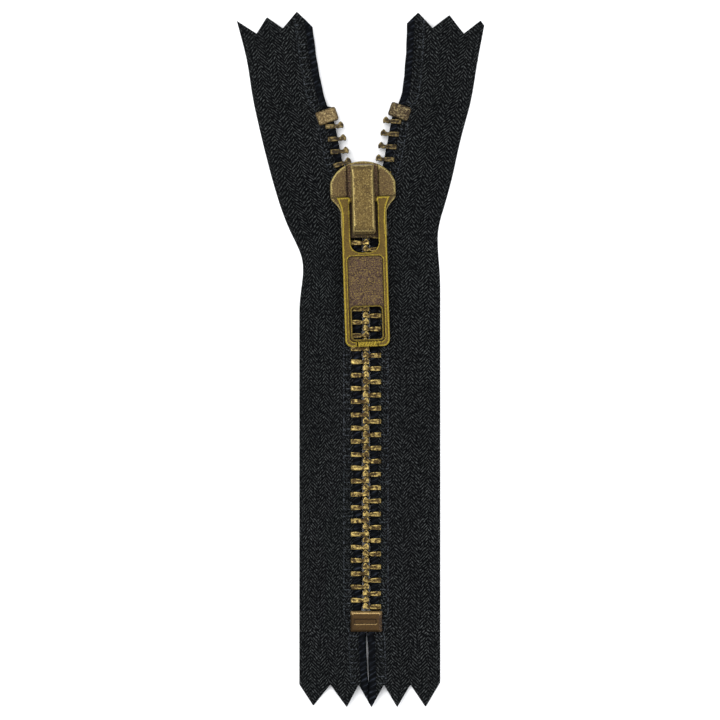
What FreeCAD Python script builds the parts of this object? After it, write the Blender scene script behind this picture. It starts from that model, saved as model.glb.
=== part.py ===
import FreeCAD, Part
import math
import os

from FreeCAD import Placement, Rotation, Vector

# Closed-end metal zip, chain size 8, 127 mm from the bottom stop to the top stops.
# Frame: the origin is under the middle of the bottom stop, on the surface the zip lies on.
# +X is to the right, +Y runs up the chain to the open end, +Z is up. Millimetres.

# ---- driving dimensions ----
CHAIN_MID_Z = 2.45          # middle of the chain's thickness
CORD_RADIUS = 0.95          # bead cord that the teeth are crimped on
CORD_OFFSET = 2.15          # closed chain: from the middle to each cord
TAPE_THICK = 0.6
FLAT_INNER = 6.45           # tape stays at the chain's height this far from its cord
SLOPE_END = 11.05           # and reaches the surface this far from it

PITCH = 3.216               # from tooth to tooth along one side
FIRST_TOOTH_Y = {"left": 5.15, "right": 3.54}
CHAIN_TEETH = {"left": 32, "right": 33}
FOOT_TEETH = 2              # teeth per side below the lower hinge
OPEN_PITCH_Y = 3.08
TOP_TOOTH_Y = {"left": 120.3, "right": 121.5}
OPEN_TEETH = 4              # teeth per side above the slider
OPEN_SQUARENESS = 0.3       # they stand nearly level, though their cords lean
LEVEL_ABOVE_Y = 111.5
TOOTH_OUTER = 1.52          # from the cord's middle to the tooth's outer end
TOOTH_INNER = 2.93          # and to its tip
TOOTH_LEG = 1.15            # thickness along the chain at the crimped legs
TOOTH_HEAD = 1.3
HEAD_START = 1.4            # where the head begins, from the cord's middle
TOOTH_HEIGHT = 2.5
NIB_RADIUS = 0.42
NIB_RISE = 0.24

STOP_WIDTH, STOP_LENGTH, STOP_HEIGHT = 7.66, 5.04, 3.95
STOP_CHAMFER = 0.45
TOP_STOP_SIZE = (5.1, 3.4, 3.3)
TOP_STOPS = {"left": (-9.45, 122.75, 19.0), "right": (8.2, 123.9, -19.0)}

FOOT_SPLIT_Y = 9.17        # lower hinge: the chain opens from here when the slider is down
LEG_SPLIT_Y = 111.0         # upper hinge: the open ends bend here, at the slider's mouth

SLIDER_END_Y = 93.2         # narrow end of the slider when the zip is closed
SLIDER_CENTRE_X = -0.366
SLIDER_TILT = 1.8           # degrees; the slider sits a little askew in its play
SLIDER_LENGTH = 18.6
NARROW_HALF = 5.55
WIDE_HALF = 7.95
PLATE_BOTTOM = 1.0          # thickness of the lower plate
PLATE_LOW, PLATE_HIGH = 3.9, 5.0
WING_RISE = 0.3
TAPE_SLOT = 1.1             # gap between the upper and lower flanges, for the tape
CHANNEL_PLAY = 0.38
PIVOT_Y, PIVOT_Z = 9.2, 6.6  # pull's hinge, from the slider's narrow end and the surface
BAR_RADIUS = 0.7

CAP_HALF = 2.8
CAP_BEVEL = 0.8
SPRING_HALF = 2.45
PIN_RADIUS = 0.45
PIN_HOLE_PLAY = 0.05
PIN_X, PIN_TIP_Z, PIN_TOP_Z = 1.6, 3.42, 6.3
PIN_Y = FIRST_TOOTH_Y["right"] + 28.5 * PITCH

PULL_DROOP = 2.9            # degrees; the free end lies on the chain
PULL_HALF_THICK = 0.7
PULL_LENGTH = 35.7
PULL_HALF = 5.42
SHOULDER_HALF = 6.45

SIDES = {"left": -1, "right": 1}
UP = Vector(0, 0, 1)

# Edges of the tapes seen from above, as (y, x).
OUTER_EDGE = {
    "left": [(-21.5, -16.2), (78.0, -16.2), (82.0, -15.5), (86.9, -15.1), (89.8, -15.8),
             (93.7, -18.0), (99.5, -20.4), (107.3, -22.8), (117.1, -25.3), (126.8, -27.5),
             (136.5, -28.9), (149.0, -32.2)],
    "right": [(-21.5, 18.07), (84.0, 18.07), (87.9, 17.67), (91.8, 17.42), (95.7, 17.42),
              (99.5, 18.67), (107.3, 20.87), (117.1, 22.97), (126.8, 25.67), (136.5, 27.17),
              (149.0, 29.57)],
}
# Middle of each cord, as (y, x), below the closed chain and above the top stops.
CORD_BELOW = {
    "left": [(-21.5, -0.36), (-16.0, -0.36), (-14.0, -0.43), (-4.8, -0.95), (-3.0, -0.8),
             (2.4, -CORD_OFFSET)],
    "right": [(-21.5, 1.56), (-16.0, 1.56), (-14.0, 1.61), (-4.8, 1.35), (-3.0, 1.12),
              (2.4, CORD_OFFSET)],
}
CORD_ABOVE = {
    "left": [(125.0, -10.3), (128.7, -11.35), (132.6, -12.15), (136.5, -12.85), (149.0, -14.5)],
    "right": [(125.6, 8.75), (128.7, 9.75), (132.6, 10.2), (138.7, 10.7), (149.0, 11.0)],
}
# Pinked ends of the tapes: tips and valleys, as (x, y).
BOTTOM_PINKING = [(-17.5, -13.4), (-12.8, -20.6), (-8.64, -15.4), (-4.65, -20.9), (-1.78, -15.4),
                  (1.36, -20.9), (4.4, -15.4), (7.59, -20.9), (10.83, -15.4), (14.5, -20.9),
                  (19.0, -13.3)]
TOP_PINKING = {
    "left": [(-33.5, 147.6), (-31.1, 145.8), (-26.6, 142.9), (-24.1, 146.9), (-20.2, 144.1),
             (-16.8, 148.2), (-12.0, 143.5)],
    "right": [(8.5, 143.9), (12.7, 148.0), (16.2, 144.2), (20.3, 147.4), (23.8, 142.9),
              (27.9, 146.1), (31.0, 141.8)],
}


# ---- where the cords run ----
def along(points, y):
    """The value at y on a line through (y, value) points."""
    for (y0, v0), (y1, v1) in zip(points, points[1:]):
        if y <= y1:
            return v0 + (v1 - v0) * (y - y0) / (y1 - y0)
    return points[-1][1]


def bend(y, start, end, slope):
    """Zero before start, then a smooth turn that ends in a straight line of that slope."""
    if y <= start:
        return 0.0
    if y < end:
        return slope * (y - start) ** 2 / (2 * (end - start))
    return slope * (y - (start + end) / 2)


def cord_x(side, y):
    """X of the middle of a cord: side by side in the chain, parted by the slider's post."""
    if y < CORD_BELOW[side][-1][0]:
        return along(CORD_BELOW[side], y)
    if y > CORD_ABOVE[side][0][0]:
        return along(CORD_ABOVE[side], y)
    half_gap = CORD_OFFSET + bend(y, 97, 105, 0.365) - bend(y, 109, 113, 0.17)
    lean = bend(y, 94, 104, 0.058) - bend(y, 109, 113, 0.05)
    return SIDES[side] * half_gap - lean


def lean_angle(side, y):
    """Angle in degrees, anticlockwise, between the cord's direction at y and +Y."""
    return math.degrees(math.atan2(cord_x(side, y - 0.2) - cord_x(side, y + 0.2), 0.4))


def stations(side, y_low, y_high):
    """The y values where an edge or a cord turns, for lofting between y_low and y_high."""
    turns = [y for y, _ in OUTER_EDGE[side] + CORD_BELOW[side] + CORD_ABOVE[side]]
    turns += [97, 99, 101, 103, 105, 109, 111, 113, 122]
    return sorted({y_low, y_high, *(y for y in turns if y_low + 0.5 < y < y_high - 0.5)})


# ---- small solid makers ----
def prism(points, z_low, z_high):
    """A flat outline of (x, y) points, raised from z_low to z_high."""
    wire = Part.makePolygon([Vector(x, y, z_low) for x, y in points + points[:1]])
    return Part.Face(wire).extrude(Vector(0, 0, z_high - z_low))


def side_prism(points, half):
    """A side view of (y, z) points, made 2 * half wide across X."""
    wire = Part.makePolygon([Vector(-half, y, z) for y, z in points + points[:1]])
    return Part.Face(wire).extrude(Vector(2 * half, 0, 0))


def block(x0, x1, y0, y1, z0, z1):
    return Part.makeBox(x1 - x0, y1 - y0, z1 - z0, Vector(x0, y0, z0))


def rounded_block(x0, x1, y0, y1, z0, z1, radius):
    """A block with its four upright edges rounded."""
    body = block(x0, x1, y0, y1, z0, z1)
    upright = [e for e in body.Edges if abs(e.tangentAt(e.FirstParameter).z) > 0.9]
    return body.makeFillet(radius, upright)


def placed(shape, x, y, z, degrees=0.0, axis=UP):
    result = shape.copy()
    result.Placement = Placement(Vector(x, y, z), Rotation(axis, degrees)).multiply(shape.Placement)
    return result


def save(name, *solids):
    shape = solids[0] if len(solids) == 1 else Part.makeCompound(list(solids))
    shape.exportStep("parts/" + name + ".step")
    print(name, len(shape.Solids), "solids", round(shape.Volume, 2), "mm3", shape.isValid())


# ---- the tapes and their cords ----
def tape_section(side, y):
    """Cross-section of a tape: flat beside the cord, sloping down, then flat on the surface."""
    sign = SIDES[side]
    inner, edge = cord_x(side, y), along(OUTER_EDGE[side], y)
    level = CHAIN_MID_Z - TAPE_THICK / 2
    low = [(inner + sign * 0.5, level), (inner + sign * FLAT_INNER, level),
           (inner + sign * SLOPE_END, 0.0), (edge, 0.0)]
    high = [(x, z + TAPE_THICK) for x, z in reversed(low)]
    ring = low + high
    return Part.makePolygon([Vector(x, y, z) for x, z in ring + ring[:1]])


def tape(side, y_low, y_high):
    sections = [tape_section(side, y) for y in stations(side, y_low, y_high)]
    return Part.makeLoft(sections, True, True)


def cord(side, y_low, y_high):
    rings = []
    for y in stations(side, y_low, y_high):
        centre = Vector(cord_x(side, y), y, CHAIN_MID_Z)
        rings.append(Part.Wire(Part.Circle(centre, Vector(0, 1, 0), CORD_RADIUS).toShape()))
    return Part.makeLoft(rings, True, True)


def pinked(shape, zigzag, far_y):
    """Cuts away what lies beyond a zigzag line."""
    waste = zigzag + [(zigzag[-1][0], far_y), (zigzag[0][0], far_y)]
    return shape.cut(prism(waste, -1, 8))


# ---- the teeth ----
def make_tooth():
    """A left-hand tooth with its cord's middle at the origin and its head towards +X."""
    half_leg, half_head, half_high = TOOTH_LEG / 2, TOOTH_HEAD / 2, TOOTH_HEIGHT / 2
    legs = block(-TOOTH_OUTER, HEAD_START, -half_leg, half_leg, -half_high, half_high)
    legs = legs.makeChamfer(0.25, [e for e in legs.Edges if e.BoundBox.XMax < -TOOTH_OUTER + 0.01
                                   and e.BoundBox.YLength > 0.5])
    head = rounded_block(HEAD_START - 0.05, TOOTH_INNER, -half_head, half_head,
                         -half_high, half_high, 0.3)
    middle = (HEAD_START + TOOTH_INNER) / 2
    ball_y = half_head + NIB_RISE - NIB_RADIUS
    nib = Part.makeSphere(NIB_RADIUS, Vector(middle, ball_y, 0))
    dimple = Part.makeSphere(NIB_RADIUS + 0.05, Vector(middle, ball_y - 2 * half_head, 0))
    cord_hole = Part.makeCylinder(CORD_RADIUS, 4, Vector(0, -2, 0), Vector(0, 1, 0))
    tape_slot = block(-3, 0, -2, 2, -TAPE_THICK / 2, TAPE_THICK / 2)
    return legs.fuse([head, nib]).cut(dimple).cut(cord_hole).cut(tape_slot).removeSplitter()


def tooth_at(side, y):
    """A tooth on its cord. Turning it over about Y makes it a right-hand one."""
    squareness = OPEN_SQUARENESS if y > LEVEL_ABOVE_Y else 1.0
    turn = Rotation(UP, squareness * lean_angle(side, y))
    if side == "right":
        turn = turn.multiply(Rotation(Vector(0, 1, 0), 180))
    copy = TOOTH.copy()
    copy.Placement = Placement(Vector(cord_x(side, y), y, CHAIN_MID_Z), turn)
    return copy


def tooth_rows(side):
    """Heights of the teeth: below the lower hinge, in the chain and slider, and in the open."""
    chain = [FIRST_TOOTH_Y[side]]
    for _ in range(CHAIN_TEETH[side] - 1):
        chain.append(chain[-1] + PITCH * math.cos(math.radians(lean_angle(side, chain[-1]))))
    top = TOP_TOOTH_Y[side]
    open_rows = [top - OPEN_PITCH_Y * k for k in range(OPEN_TEETH)]
    hidden_row = top - OPEN_PITCH_Y * OPEN_TEETH
    return chain[:FOOT_TEETH], chain[FOOT_TEETH:] + [hidden_row], open_rows


# ---- the stops ----
def make_bottom_stop():
    half_w, half_l = STOP_WIDTH / 2, STOP_LENGTH / 2
    body = block(-half_w + 0.1, half_w + 0.1, -half_l, half_l, 0, STOP_HEIGHT)
    body = body.makeChamfer(STOP_CHAMFER, [e for e in body.Edges if e.BoundBox.ZMin > 0.1])
    upright = [e for e in body.Edges if e.BoundBox.ZLength > 3]
    body = body.makeFillet(0.3, upright)
    groove = block(-2.9, 2.5, -0.62, 0.57, STOP_HEIGHT - 0.3, STOP_HEIGHT + 1)
    return body.cut(groove)


def make_top_stop(side):
    width, length, height = TOP_STOP_SIZE
    body = block(-width / 2, width / 2, -length / 2, length / 2, -height / 2, height / 2)
    body = body.makeFillet(0.55, body.Edges)
    x, y, degrees = TOP_STOPS[side]
    return placed(body, x, y, CHAIN_MID_Z, degrees)


# ---- the slider: local Y runs from its narrow end to its nose ----
def on_slider(shape):
    return placed(shape, SLIDER_CENTRE_X, SLIDER_END_Y, 0, SLIDER_TILT)


def slider_outline():
    """Plan outline of a plate: a narrow tail, concave flanks, wide shoulders and a domed nose."""
    n, w, top = NARROW_HALF, WIDE_HALF, SLIDER_LENGTH
    curves = []
    for flip in (1, -1):
        def p(x, y, flip=flip):
            return Vector(flip * x, y, 0)
        curves.append(Part.Arc(p(n - 0.8, 0), p(n - 0.23, 0.23), p(n, 0.8)))
        curves.append(Part.LineSegment(p(n, 0.8), p(n, 6.4)))
        curves.append(Part.Arc(p(n, 6.4), p(n + 0.85, 7.95), p(w - 0.4, 9.2)))
        curves.append(Part.LineSegment(p(w - 0.4, 9.2), p(w, 9.95)))
        curves.append(Part.LineSegment(p(w, 9.95), p(w, 13.4)))
        curves.append(Part.Arc(p(w, 13.4), p(w - 1.2, 15.6), p(w - 2.95, top - 1.4)))
    curves.append(Part.LineSegment(Vector(0.8 - n, 0, 0), Vector(n - 0.8, 0, 0)))
    shoulder = w - 2.95
    curves.append(Part.Arc(Vector(shoulder, top - 1.4, 0), Vector(0, top, 0),
                           Vector(-shoulder, top - 1.4, 0)))
    return Part.Wire(Part.__sortEdges__([c.toShape() for c in curves]))


def plate(z_low, z_high):
    wire = slider_outline()
    wire.translate(Vector(0, 0, z_low))
    return Part.Face(wire).extrude(Vector(0, 0, z_high - z_low))


def channel():
    """The Y-shaped way through the slider that the teeth and cords run in."""
    reach = TOOTH_OUTER + CHANNEL_PLAY
    rows = [88, 97, 99, 101, 103, 105, 107, 109, 111, 114]
    left = [(cord_x("left", y) - reach, y) for y in rows]
    right = [(cord_x("right", y) + reach, y) for y in reversed(rows)]
    return prism(left + right, PLATE_BOTTOM, PLATE_LOW)


def make_slider_body():
    base = plate(0, PLATE_BOTTOM)
    base = base.makeChamfer(0.25, [e for e in base.Edges if e.BoundBox.ZMax < 0.01])
    top = plate(PLATE_LOW, PLATE_HIGH)
    wings = plate(PLATE_HIGH - 0.1, PLATE_HIGH + WING_RISE)
    wings = wings.makeChamfer(0.22, [e for e in wings.Edges if e.BoundBox.ZMin > PLATE_HIGH])
    wings = wings.cut(block(-3.9, 3.9, -1, 30, 0, 9)).cut(block(-9, 9, -1, 10.0, 0, 9))
    top = top.fuse(wings)
    walls = plate(PLATE_BOTTOM, PLATE_LOW)
    slot_low = CHAIN_MID_Z - TAPE_SLOT / 2
    walls = on_slider(walls).cut(channel()).cut(block(-20, 20, 80, 120, slot_low, slot_low + TAPE_SLOT))
    post = prism([(-0.35, 104.9), (-1.3, 107.6), (-2.25, 111.0), (1.25, 111.0), (0.5, 107.6)],
                 PLATE_BOTTOM - 0.1, PLATE_LOW + 0.1)
    body = on_slider(base).fuse([on_slider(top), walls, post])
    pin_hole = Part.makeCylinder(PIN_RADIUS + PIN_HOLE_PLAY, 4, Vector(PIN_X, PIN_Y, PLATE_LOW - 0.5))
    return body.cut(pin_hole).removeSplitter()


def make_cap():
    """A bridge over the pull's bar: a foot at the nose, a long top and a lip at the tail."""
    ring = [(17.7, PLATE_HIGH), (17.85, 6.6), (17.5, 7.7), (16.6, 8.4), (15.0, 8.7), (2.7, 8.6),
            (1.5, 8.3), (0.85, 7.5), (0.7, 5.9), (1.22, 5.9), (1.34, 7.45), (2.1, 7.78),
            (14.7, 7.95), (14.7, PLATE_HIGH)]
    body = side_prism(ring, CAP_HALF)
    body = body.common(rounded_block(-CAP_HALF, CAP_HALF, 0.7, 25, 0, 12, 0.9))
    bevels = []
    for flip in (1, -1):
        corner = [(flip * (CAP_HALF - CAP_BEVEL), 9.5), (flip * (CAP_HALF + 1), 9.5),
                  (flip * (CAP_HALF + 1), 6.9), (flip * CAP_HALF, 7.95)]
        wire = Part.makePolygon([Vector(x, -1, z) for x, z in corner + corner[:1]])
        bevels.append(Part.Face(wire).extrude(Vector(0, 30, 0)))
    return on_slider(body.cut(Part.makeCompound(bevels)))


def make_spring():
    """Leaf spring under the cap: fixed at the nose, over the pull's bar, down to the lock pin."""
    under = [(14.7, 7.35), (8.1, 7.35), (5.5, 6.75), (2.0, PIN_TOP_Z)]
    ring = under + [(y, z + 0.28) for y, z in reversed(under)]
    return on_slider(side_prism(ring, SPRING_HALF))


def make_lock_pin():
    shank = Part.makeCylinder(PIN_RADIUS, PIN_TOP_Z - PIN_TIP_Z - 0.35,
                              Vector(PIN_X, PIN_Y, PIN_TIP_Z + 0.35))
    tip = Part.makeCone(0.22, PIN_RADIUS, 0.35, Vector(PIN_X, PIN_Y, PIN_TIP_Z))
    return shank.fuse(tip).removeSplitter()


# ---- the pull tab: local Y runs back from its hinge to its free end ----
def pull_window(half, y_near, y_far, radius):
    """A window with its two far corners rounded by radius."""
    hole = block(-half, half, -y_far, -y_near, -3, 3)
    far = [e for e in hole.Edges if e.BoundBox.ZLength > 5 and e.BoundBox.YMin < -y_far + 0.01]
    return hole.makeFillet(radius, far)


def make_pull():
    t = PULL_HALF_THICK
    half_outline = [(SHOULDER_HALF, 0.7), (SHOULDER_HALF - 0.25, 0.1), (5.55, -1.6), (5.3, -3.2),
                    (5.25, -5.5), (PULL_HALF, -9.0), (PULL_HALF, -PULL_LENGTH)]
    ring = half_outline + [(-x, y) for x, y in reversed(half_outline)]
    body = prism(ring, -t, t)
    ends = [e for e in body.Edges if e.BoundBox.ZLength > 1 and e.BoundBox.YMax < -PULL_LENGTH + 0.01]
    body = body.makeFillet(1.7, ends)
    body = body.makeChamfer(0.2, [e for e in body.Edges if e.BoundBox.ZMin > t - 0.01])
    hole_one = pull_window(3.45, 0.0, 12.8, 2.4)
    recess = rounded_block(-4.35, 4.35, -34.5, -13.6, t - 0.4, 3, 1.1)
    lip = rounded_block(-3.95, 3.95, -34.2, -25.8, -t, t - 0.15, 1.0)
    hole_two = rounded_block(-3.65, 3.65, -33.9, -26.0, -3, 3, 0.8)
    slots = [block(x - 0.15, x + 0.15, -36, -34.5, -0.2, 3) for x in (-2.5, 2.5)]
    body = body.cut(hole_one).cut(recess).fuse(lip).cut(hole_two).cut(Part.makeCompound(slots))
    ribs = []
    for k in range(6):
        rib = block(-0.17, 0.17, -0.85, 0.55, 0, 0.3)
        ribs.append(placed(rib, -1.75 + 0.7 * k, -34.9, t - 0.1, -25))
    body = body.fuse(ribs)
    bar = Part.makeCylinder(BAR_RADIUS, 8, Vector(-4, 0, 0), Vector(1, 0, 0))
    body = body.cut(block(-3.45, 3.45, 0, 2, -2, 2)).fuse(bar).removeSplitter()
    drooped = placed(body, 0, PIVOT_Y, PIVOT_Z, PULL_DROOP, Vector(1, 0, 0))
    return on_slider(drooped)


# ---- everything, one file per named piece ----
os.makedirs("parts", exist_ok=True)
TOOTH = make_tooth()
END_LOW, END_HIGH = -21.5, 149.0

for side in SIDES:
    foot = tape(side, END_LOW, FOOT_SPLIT_Y)
    foot_cord = cord(side, END_LOW, FOOT_SPLIT_Y)
    save(side + "_tape_foot", pinked(foot, BOTTOM_PINKING, -30))
    save(side + "_cord_foot", pinked(foot_cord, BOTTOM_PINKING, -30))
    save(side + "_tape", tape(side, FOOT_SPLIT_Y, LEG_SPLIT_Y))
    save(side + "_cord", cord(side, FOOT_SPLIT_Y, LEG_SPLIT_Y))
    end = tape(side, LEG_SPLIT_Y, END_HIGH)
    end_cord = cord(side, LEG_SPLIT_Y, END_HIGH)
    save(side + "_tape_end", pinked(end, TOP_PINKING[side], 155))
    save(side + "_cord_end", pinked(end_cord, TOP_PINKING[side], 155))
    foot_rows, chain_rows, open_rows = tooth_rows(side)
    save(side + "_teeth_foot", *[tooth_at(side, y) for y in foot_rows])
    save(side + "_teeth", *[tooth_at(side, y) for y in chain_rows])
    save(side + "_teeth_end", *[tooth_at(side, y) for y in open_rows])
    save(side + "_top_stop", make_top_stop(side))

save("bottom_stop", make_bottom_stop())
save("slider_body", make_slider_body())
save("slider_cap", make_cap())
save("lock_spring", make_spring())
save("lock_pin", make_lock_pin())
save("pull_tab", make_pull())
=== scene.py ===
# %% [markdown]
# # A closed-end metal zip
# The zip lies flat on a pale table: two black woven tapes, a bead cord along the inner edge of each,
# brass teeth crimped on the cords, an auto-lock slider with its framed pull, and three stops.
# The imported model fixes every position, so this script only makes surfaces around it.

# %% Load the frame
import math

import bmesh
import bpy
import numpy as np
from mathutils import Matrix, Vector, kdtree


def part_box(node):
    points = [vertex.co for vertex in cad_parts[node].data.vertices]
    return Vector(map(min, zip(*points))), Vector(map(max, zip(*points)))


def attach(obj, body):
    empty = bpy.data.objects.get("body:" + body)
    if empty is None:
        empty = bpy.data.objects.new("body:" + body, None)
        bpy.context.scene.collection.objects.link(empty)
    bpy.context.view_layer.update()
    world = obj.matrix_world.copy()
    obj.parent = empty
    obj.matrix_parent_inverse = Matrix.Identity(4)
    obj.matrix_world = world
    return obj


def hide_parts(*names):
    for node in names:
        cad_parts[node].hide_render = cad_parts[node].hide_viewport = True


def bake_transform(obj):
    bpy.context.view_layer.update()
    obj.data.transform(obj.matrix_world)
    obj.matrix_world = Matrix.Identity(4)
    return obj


MM = 0.001
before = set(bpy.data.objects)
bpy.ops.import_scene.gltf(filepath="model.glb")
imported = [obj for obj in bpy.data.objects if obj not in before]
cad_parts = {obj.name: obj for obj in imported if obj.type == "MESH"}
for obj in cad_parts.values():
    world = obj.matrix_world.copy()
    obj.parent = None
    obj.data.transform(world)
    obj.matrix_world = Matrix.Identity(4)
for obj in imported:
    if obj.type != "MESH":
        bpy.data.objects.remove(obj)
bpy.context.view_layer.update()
SIDES = {"left": -1, "right": 1}
CHAIN_Z = sum(corner[2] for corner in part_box("left_cord")) / 2 / MM
print("chain's mid height", round(CHAIN_Z, 3), "mm")

# %% [markdown]
# The camera looks straight down from far away with a long lens, so that the zip keeps its
# proportions and its sides hardly show.

# %% Camera
TABLE_CENTRE = (-1.44, 63.5)
CAMERA_HEIGHT = 2433.0
LENS, SENSOR = 500, 36
camera = bpy.data.objects.new("camera", bpy.data.cameras.new("camera"))
bpy.context.collection.objects.link(camera)
camera.data.lens = LENS
camera.data.sensor_width = SENSOR
camera.data.clip_start = 0.01
camera.location = Vector((*TABLE_CENTRE, CAMERA_HEIGHT)) * MM
bpy.context.scene.camera = camera
bpy.context.scene.view_settings.view_transform = "Standard"
print("field of view", round(CAMERA_HEIGHT * SENSOR / LENS, 1), "mm wide")

# %% [markdown]
# Small objects for sale are lit from all round, with one broad lamp that gives metal its bright
# lines. A pale world does the first job and a large area lamp up and to the left the second.

# %% Light and table
world = bpy.data.worlds.new("pale room")
world.use_nodes = True
world.node_tree.nodes["Background"].inputs["Color"].default_value = (0.97, 0.985, 1.0, 1)
world.node_tree.nodes["Background"].inputs["Strength"].default_value = 1.15
bpy.context.scene.world = world


def area_lamp(name, place, size, power):
    lamp = bpy.data.lights.new(name, "AREA")
    lamp.size = size
    lamp.energy = power
    holder = bpy.data.objects.new(name, lamp)
    bpy.context.collection.objects.link(holder)
    holder.location = place
    aim = Vector((0, 0.06, 0)) - holder.location
    holder.rotation_euler = aim.to_track_quat("-Z", "Y").to_euler()
    print(name, power, "W")


area_lamp("window", (-0.2, 0.3, 0.85), 0.45, 5.5)
area_lamp("fill", (0.6, -0.4, 0.6), 0.6, 2.5)

# %% [markdown]
# Small helpers keep the node trees readable: they add a node and plug in its inputs, do sums, mix
# two colours, and start a material or a shared node group.


# %% Node helpers
def add(tree, kind, values=None, **settings):
    node = tree.nodes.new(kind)
    for setting, value in settings.items():
        setattr(node, setting, value)
    for socket, value in (values or {}).items():
        if isinstance(value, bpy.types.NodeSocket):
            tree.links.new(value, node.inputs[socket])
        else:
            node.inputs[socket].default_value = value
    return node


def calc(tree, operation, first, second=0.0, third=0.0, clamp=False):
    values = {0: first, 1: second, 2: third}
    return add(tree, "ShaderNodeMath", values, operation=operation, use_clamp=clamp).outputs[0]


def mix(tree, amount, first, second):
    node = add(tree, "ShaderNodeMix", {0: amount, 6: first, 7: second}, data_type="RGBA")
    return node.outputs[2]


def paint(red, green, blue):
    """A colour as it is read on a screen, from 0 to 255, turned into light."""
    lights = [((v / 255 + 0.055) / 1.055) ** 2.4 if v > 10 else v / 255 / 12.92
              for v in (red, green, blue)]
    return (*lights, 1.0)


def new_material(name, **sockets):
    material = bpy.data.materials.new(name)
    material.use_nodes = True
    shader = material.node_tree.nodes["Principled BSDF"]
    for label, value in sockets.items():
        shader.inputs[label.replace("_", " ")].default_value = value
    return material, material.node_tree, shader


def new_group(name, inputs, outputs):
    tree = bpy.data.node_groups.new(name, "ShaderNodeTree")
    for label, kind, value in inputs:
        tree.interface.new_socket(label, in_out="INPUT", socket_type=kind).default_value = value
    for label, kind in outputs:
        tree.interface.new_socket(label, in_out="OUTPUT", socket_type=kind)
    return tree, add(tree, "NodeGroupInput").outputs, add(tree, "NodeGroupOutput").inputs


FLOAT, VECTOR, COLOUR = "NodeSocketFloat", "NodeSocketVector", "NodeSocketColor"

table_finish, _, _ = new_material("table", Base_Color=paint(246, 246, 247), Roughness=0.9)
bpy.ops.mesh.primitive_plane_add(size=1.6, location=(0, 0.06, -0.00002))
table = bpy.context.object
table.name = "table"
table.data.materials.append(table_finish)

# %% [markdown]
# Every soft piece follows two lines on each side: the bead cord that the teeth sit on, and the
# tape's outer edge. In the closed chain the cords run 2.15 mm from the middle; the slider's post
# parts them, and above it they lean out. The numbers are those of the CAD part, in millimetres.

# %% The lines that the tapes and cords follow
CORD_OFFSET = 2.15
OUTER_EDGE = {
    "left": [(-21.5, -16.2), (78.0, -16.2), (82.0, -15.5), (86.9, -15.1), (89.8, -15.8),
             (93.7, -18.0), (99.5, -20.4), (107.3, -22.8), (117.1, -25.3), (126.8, -27.5),
             (136.5, -28.9), (149.0, -32.2)],
    "right": [(-21.5, 18.07), (84.0, 18.07), (87.9, 17.67), (91.8, 17.42), (95.7, 17.42),
              (99.5, 18.67), (107.3, 20.87), (117.1, 22.97), (126.8, 25.67), (136.5, 27.17),
              (149.0, 29.57)],
}
CORD_BELOW = {
    "left": [(-21.5, -0.36), (-16.0, -0.36), (-14.0, -0.43), (-4.8, -0.95), (-3.0, -0.8),
             (2.4, -CORD_OFFSET)],
    "right": [(-21.5, 1.56), (-16.0, 1.56), (-14.0, 1.61), (-4.8, 1.35), (-3.0, 1.12),
              (2.4, CORD_OFFSET)],
}
CORD_ABOVE = {
    "left": [(125.0, -10.3), (128.7, -11.35), (132.6, -12.15), (136.5, -12.85), (149.0, -14.5)],
    "right": [(125.6, 8.75), (128.7, 9.75), (132.6, 10.2), (138.7, 10.7), (149.0, 11.0)],
}


def along(points, y):
    return np.interp(y, [p[0] for p in points], [p[1] for p in points])


def bend(y, start, end, slope):
    """Zero before start, then a smooth turn that ends in a straight line of that slope."""
    turned = np.clip(y - start, 0, end - start)
    return slope * (turned ** 2 / (2 * (end - start)) + np.maximum(y - end, 0))


def cord_x(side, y):
    y = np.asarray(y, float)
    half_gap = CORD_OFFSET + bend(y, 97, 105, 0.365) - bend(y, 109, 113, 0.17)
    lean = bend(y, 94, 104, 0.058) - bend(y, 109, 113, 0.05)
    middle = SIDES[side] * half_gap - lean
    below, above = CORD_BELOW[side], CORD_ABOVE[side]
    middle = np.where(y < below[-1][0], along(below, y), middle)
    return np.where(y > above[0][0], along(above, y), middle)


def edge_x(side, y):
    """The outer edge, with its corners eased over 6 mm."""
    return np.mean([along(OUTER_EDGE[side], y + d) for d in np.linspace(-3, 3, 9)], axis=0)


def smooth_step(value, low, high):
    t = np.clip((value - low) / (high - low), 0, 1)
    return t * t * (3 - 2 * t)


print("cord at y 0:", cord_x("left", 0).round(2), "and", cord_x("right", 0).round(2))

# %% [markdown]
# Both ends of each tape are cut with pinking shears. The zigzag is a line of tips and valleys, and
# the last rows of every strip are stretched to end on it, so that the cut is a real edge.

# %% Pinked ends
PINKING_LOW = [(-17.5, -13.4), (-12.8, -20.6), (-8.64, -15.4), (-4.65, -20.9), (-1.78, -15.4),
               (1.36, -20.9), (4.4, -15.4), (7.59, -20.9), (10.83, -15.4), (14.5, -20.9),
               (19.0, -13.3)]
PINKING_HIGH = {
    "left": [(-33.5, 147.6), (-31.1, 145.8), (-26.6, 142.9), (-24.1, 146.9), (-20.2, 144.1),
             (-16.8, 148.2), (-12.0, 143.5)],
    "right": [(8.5, 143.9), (12.7, 148.0), (16.2, 144.2), (20.3, 147.4), (23.8, 142.9),
              (27.9, 146.1), (31.0, 141.8)],
}
LOW, MIDDLE, HIGH = -21.0, 60.0, 148.0
STRETCHED = 11.0
PARTS = {"lower": (LOW, MIDDLE), "upper": (MIDDLE, HIGH)}


def cut_y(side, part, line_x):
    """Where a lengthwise line meets the zigzag. line_x gives the line's x at a y."""
    zigzag = PINKING_LOW if part == "lower" else PINKING_HIGH[side]
    y = np.full_like(line_x(0.0), zigzag[1][1], dtype=float)
    for _ in range(40):
        y = np.interp(line_x(y), [p[0] for p in zigzag], [p[1] for p in zigzag])
    return y


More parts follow.
